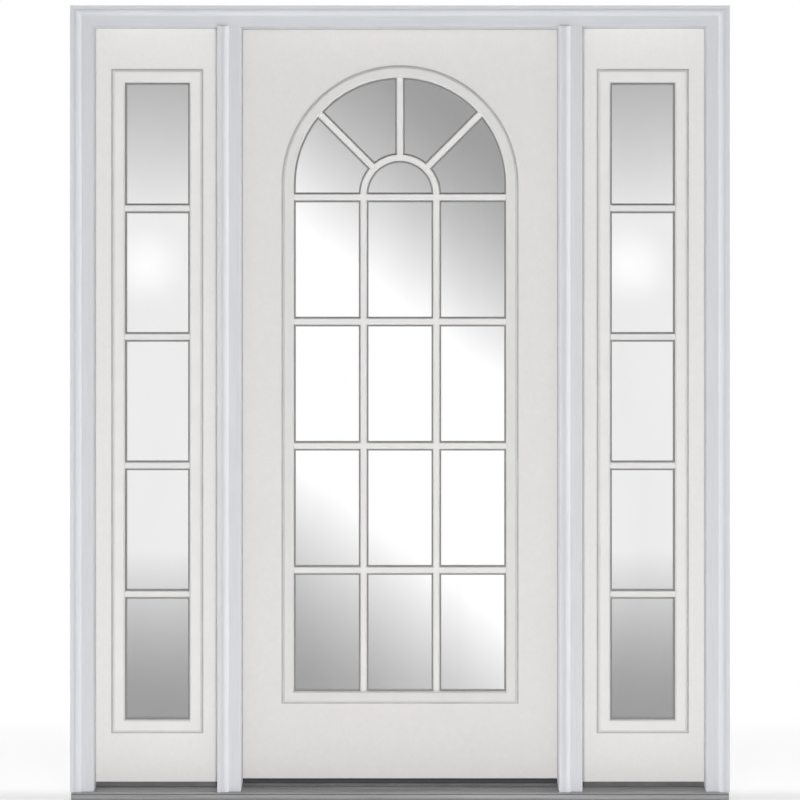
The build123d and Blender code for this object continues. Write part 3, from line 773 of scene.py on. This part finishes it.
class FitHingeScrews(bpy.types.Operator):
    """Finish the hinges and fit four screws in each plate"""

    bl_idname = "entry_door.fit_hinge_screws"
    bl_label = "Fit the hinge screws"

    def execute(self, context):
        sizes = context.scene.entry_door_fittings
        steel = satin_steel("hinge_satin_steel", context.scene.entry_door_finishes.hinge_steel)
        finish_nodes(steel, "hinge_jamb_leaves", "hinge_door_leaves")
        half = 0.5 * sizes.hinge_length
        heights = np.linspace(PLATES_LOW.z + half, PLATES_HIGH.z - half, HINGES)
        depths = LEAF_HIGH.y - 0.5 * sizes.hinge_reach + SCREW_STAGGER * sizes.hinge_reach
        places = [(y, z + row * half) for z in heights for y, row in zip(depths, SCREW_ROWS)]
        head = screw_rings(sizes.screw_head, sizes.screw_rise, sizes.screw_slot)
        self.fit("hinge_screws_frame", head, places, SEAL_LOW.x, 1.0, steel, "frame")
        self.fit("hinge_screws_leaf", head, places, LEAF_LOW.x, -1.0, steel, "leaf")
        return {"FINISHED"}

    @staticmethod
    def fit(name, head, places, face, outward, steel, body):
        """One mesh of screws on the plates' face, each with its middle closed and its rim let in."""
        across, along, rise = head
        rings, points = rise.shape
        rim = np.stack((np.full(points, -LET_IN), across[-1], along[-1]), axis=-1)
        screw = np.concatenate((np.stack((rise, across, along), axis=-1).reshape(-1, 3), rim))
        middle = np.arange(points)
        faces = grid_faces(rings + 1, points).tolist()
        faces += [middle[::-1].tolist(), (middle + rings * points).tolist()]
        if outward > 0:
            faces = [corners[::-1] for corners in faces]
        all_points, all_faces = [], []
        for index, (y, z) in enumerate(places):
            all_points.append(screw * (outward, 1.0, 1.0) + (face, y, z))
            all_faces += [[index * len(screw) + corner for corner in corners] for corners in faces]
        put_mesh(name, np.concatenate(all_points), all_faces, steel, body, CRISP_SCREW_EDGE)


class SetStudio(bpy.types.Operator):
    """Set the floor, the white surround, the lamps, the soft panels and the camera"""

    bl_idname = "entry_door.set_studio"
    bl_label = "Set the studio"

    def execute(self, context):
        studio = context.scene.entry_door_studio
        context.scene.view_settings.view_transform = "Standard"
        self.floor(studio)
        self.surround(context.scene, studio)
        self.lamps(studio)
        self.soft_panels(studio)
        self.camera(context.scene, studio)
        return {"FINISHED"}

    @staticmethod
    def seen_directly(tree):
        """One for rays from the camera and for those mirrored or passed by glass, else nought."""
        path = tree.nodes.new("ShaderNodeLightPath").outputs
        by_glass = reckon(tree, "MAXIMUM", path["Is Glossy Ray"], path["Is Transmission Ray"])
        return reckon(tree, "MAXIMUM", path["Is Camera Ray"], by_glass)

    @staticmethod
    def stage_sheet(name, corners, material):
        """A flat sheet of the stage from its four corners."""
        sheet = new_object(name, corners, [[0, 1, 2, 3]], material)
        return sheet

    def floor(self, studio):
        """A pale floor.

        It lights the unit as plain white paint does. Where it is seen, a share of its white near the unit
        comes from the lamps and takes the unit's shadow, and the rest is its own.
        """
        corners = np.array([[-1.0, -1.0], [1.0, -1.0], [1.0, 1.0], [-1.0, 1.0]]) * studio.floor_reach
        points = np.column_stack((corners, np.full(4, -studio.floor_drop)))
        finish = Finish("studio_floor", Roughness=0.9, Specular_IOR_Level=0.0, Emission_Color=WHITE)
        tree = finish.tree
        away = finish.node("ShaderNodeVectorMath", {0: finish.places()})
        away.operation = "LENGTH"
        far = away.outputs["Value"]
        shade = finish.spread(far, studio.floor_shade, 0.0, studio.floor_full, studio.floor_near)
        seen = self.seen_directly(tree)
        own = reckon(tree, "MULTIPLY_ADD", shade, -studio.floor_light, 1.0)
        unseen = reckon(tree, "MULTIPLY", reckon(tree, "SUBTRACT", 1.0, seen), studio.floor_white)
        paint = reckon(tree, "MULTIPLY_ADD", seen, shade, unseen)
        finish.set(Base_Color=paint, Emission_Strength=reckon(tree, "MULTIPLY", seen, own))
        floor = self.stage_sheet("studio_floor", points, finish.material)
        floor.visible_transmission = False

    def surround(self, scene, studio):
        """An even light all round, which shows as plain white."""
        world = bpy.data.worlds.new("studio_surround")
        world.use_nodes = True
        tree = world.node_tree
        background = tree.nodes["Background"]
        background.inputs["Color"].default_value = WHITE
        strength = tree.nodes.new("ShaderNodeMapRange")
        strength.inputs["To Min"].default_value = studio.room_light
        strength.inputs["To Max"].default_value = 1.0
        tree.links.new(self.seen_directly(tree), strength.inputs["Value"])
        tree.links.new(strength.outputs["Result"], background.inputs["Strength"])
        scene.world = world

    @staticmethod
    def lamps(studio):
        """A lamp facing each side of the unit, one over it, a slim one facing each edge, and two gleams.

        The inside lamp mirrors the outside one, and the left lamps mirror the right ones. The gleams show
        only on glossy surfaces, and the other lamps never do.
        """
        middle = Vector((0.0, 0.0, 0.5 * CAD_HIGH.z))
        inside, left = Vector((1.0, -1.0, 1.0)), Vector((-1.0, 1.0, 1.0))
        face, edge, sheen = Vector(studio.face_lamp), Vector(studio.edge_lamp), Vector(studio.sheen_lamp)
        lamps = (
            ("outside_lamp", face, studio.face_lamp_size, studio.face_power, False),
            ("inside_lamp", face * inside, studio.face_lamp_size, studio.face_power, False),
            ("top_lamp", Vector(studio.top_lamp), studio.top_lamp_size, studio.top_power, False),
            ("left_lamp", edge * left, studio.edge_lamp_size, studio.edge_power, False),
            ("right_lamp", edge, studio.edge_lamp_size, studio.edge_power, False),
            ("left_sheen", sheen * left, studio.sheen_lamp_size, studio.sheen_power, True),
            ("right_sheen", sheen, studio.sheen_lamp_size, studio.sheen_power, True),
        )
        for name, place, size, power, gleam in lamps:
            light = bpy.data.lights.new(name, "AREA")
            light.shape = "RECTANGLE"
            light.size, light.size_y = size
            light.energy = power
            lamp = bpy.data.objects.new(name, light)
            lamp.location = place
            lamp.rotation_euler = (middle - place).to_track_quat("-Z", "Y").to_euler()
            lamp.visible_camera = False
            lamp.visible_transmission = False
            lamp.visible_glossy = gleam
            lamp.visible_diffuse = not gleam
            bpy.context.scene.collection.objects.link(lamp)

    def soft_panels(self, studio):
        """Soft panels far behind the unit, which show only through the glass.

        A panel stands where the sight lines through its lite meet the panels' plane, so its middle and size
        are the lite's, measured from the camera's axis and grown by the longer way.
        """
        axis = np.array([0.0, studio.camera_height])
        camera_place = studio.camera_distance - CASING_LOW.y
        for lite in LITES:
            low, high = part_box(f"{lite}_glass")
            growth = (camera_place + studio.panel_gap) / (camera_place + low.y)
            corners = np.array([[low.x, low.z], [high.x, low.z], [high.x, high.z], [low.x, high.z]])
            seen = axis + growth * (corners - axis)
            middle = seen.mean(axis=0)
            points = np.insert(middle + studio.panel_margin * (seen - middle), 1, studio.panel_gap, axis=1)
            if lite == "door":
                across = (-math.sin(studio.panel_tilt), 0.0, math.cos(studio.panel_tilt))
                level = studio.panel_light
                finish, light = self.band(studio, lite, across, studio.leaf_band, studio.leaf_fades, level)
            else:
                across = (0.0, 0.0, 1.0)
                level = studio.side_panel_light
                finish, light = self.band(studio, lite, across, studio.side_band, studio.side_fades, level)
                centre = (middle[0] - studio.glow_aside, studio.panel_gap, studio.glow_height)
                self.glow(finish, light, centre, studio.glow_reach, studio.glow_light)
            panel = self.stage_sheet(f"{lite}_soft_panel", points, finish.material)
            panel.visible_camera = False
            panel.visible_diffuse = False
            panel.visible_shadow = False

    @staticmethod
    def band(studio, lite, across, edges, fades, strength):
        """A panel's light: full between two edges, and dimming beyond each over its own width.

        It shows to rays that came through glass and that nothing has mirrored, and is clear to all others.
        """
        finish = Finish(f"{lite}_soft_panel")
        tree = finish.tree
        tree.nodes.remove(finish.shader)
        along = finish.node("ShaderNodeVectorMath", {0: finish.places()})
        along.operation = "DOT_PRODUCT"
        along.inputs[1].default_value = across
        place = along.outputs["Value"]
        rising = finish.spread(place, 0.0, 1.0, edges[0] - fades[0], edges[0])
        falling = finish.spread(place, 1.0, 0.0, edges[1], edges[1] + fades[1])
        curved = reckon(tree, "POWER", reckon(tree, "MINIMUM", rising, falling), studio.panel_curve)
        level = finish.spread(curved, studio.panel_dim, strength, 0.0, 1.0)
        light = finish.node("ShaderNodeEmission", {"Strength": level})
        path = finish.node("ShaderNodeLightPath").outputs
        unmirrored = reckon(tree, "LESS_THAN", path["Glossy Depth"], 0.5)
        shown = reckon(tree, "MULTIPLY", path["Is Transmission Ray"], unmirrored)
        clear = finish.node("ShaderNodeBsdfTransparent")
        mix = finish.node("ShaderNodeMixShader", {0: shown, 1: clear.outputs[0], 2: light.outputs[0]})
        tree.links.new(mix.outputs[0], tree.nodes["Material Output"].inputs["Surface"])
        finish.material.cycles.emission_sampling = "NONE"
        return finish, light

    @staticmethod
    def glow(finish, light, centre, radius, strength):
        """Adds a round glow to a panel's light, which fades smoothly to nought at its radius."""
        away = finish.node("ShaderNodeVectorMath", {0: finish.places()})
        away.operation = "DISTANCE"
        away.inputs[1].default_value = centre
        extra = finish.spread(away.outputs["Value"], strength, 0.0, 0.0, radius)
        extra.node.interpolation_type = "SMOOTHSTEP"
        level = light.inputs["Strength"]
        finish.tree.links.new(reckon(finish.tree, "ADD", level.links[0].from_socket, extra), level)

    @staticmethod
    def camera(scene, studio):
        """A level camera square to the unit, at the distance that gives the picture its width."""
        data = bpy.data.cameras.new("camera")
        data.sensor_width = 36.0
        data.lens = data.sensor_width * studio.camera_distance / studio.view_width
        data.clip_end = 500.0
        camera = bpy.data.objects.new("camera", data)
        camera.location = (0.0, CASING_LOW.y - studio.camera_distance, studio.camera_height)
        camera.rotation_euler = (math.radians(90.0), 0.0, 0.0)
        scene.collection.objects.link(camera)
        scene.camera = camera


class EntryDoorPanel(bpy.types.Panel):
    """Lists the door's settings and the steps that finish it"""

    bl_idname = "VIEW3D_PT_entry_door"
    bl_label = "Entry Door"
    bl_space_type = "VIEW_3D"
    bl_region_type = "UI"
    bl_category = "Entry Door"

    def draw(self, context):
        for group in SETTINGS:
            settings = getattr(context.scene, group)
            box = self.layout.box()
            for name in settings.__annotations__:
                box.prop(settings, name)
        for step in STEPS:
            self.layout.operator(step.bl_idname)


SETTINGS = {
    "entry_door_finishes": EntryDoorFinishes,
    "entry_door_fittings": EntryDoorFittings,
    "entry_door_studio": EntryDoorStudio,
}
STEPS = (
    FinishDoorLeaf,
    FinishSidelites,
    FinishLites,
    FinishFrame,
    FinishSill,
    FitWeatherstrip,
    FitSweep,
    FitLiteGasketsAndGrooveShade,
    FitHingeScrews,
    SetStudio,
)


def register():
    """Registers the settings, the steps and the panel."""
    for name, group in SETTINGS.items():
        bpy.utils.register_class(group)
        setattr(bpy.types.Scene, name, PointerProperty(type=group))
    for step in (*STEPS, EntryDoorPanel):
        bpy.utils.register_class(step)


def unregister():
    """Takes the panel, the steps and the settings away again."""
    for step in reversed((*STEPS, EntryDoorPanel)):
        bpy.utils.unregister_class(step)
    for name, group in SETTINGS.items():
        delattr(bpy.types.Scene, name)
        bpy.utils.unregister_class(group)


def main():
    """Registers the add-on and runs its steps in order."""
    register()
    bpy.ops.entry_door.finish_leaf()
    bpy.ops.entry_door.finish_sidelites()
    bpy.ops.entry_door.finish_lites()
    bpy.ops.entry_door.finish_frame()
    bpy.ops.entry_door.finish_sill()
    bpy.ops.entry_door.fit_weatherstrip()
    bpy.ops.entry_door.fit_sweep()
    bpy.ops.entry_door.fit_lite_gaskets()
    bpy.ops.entry_door.fit_hinge_screws()
    bpy.ops.entry_door.set_studio()


if __name__ == "__main__":
    main()
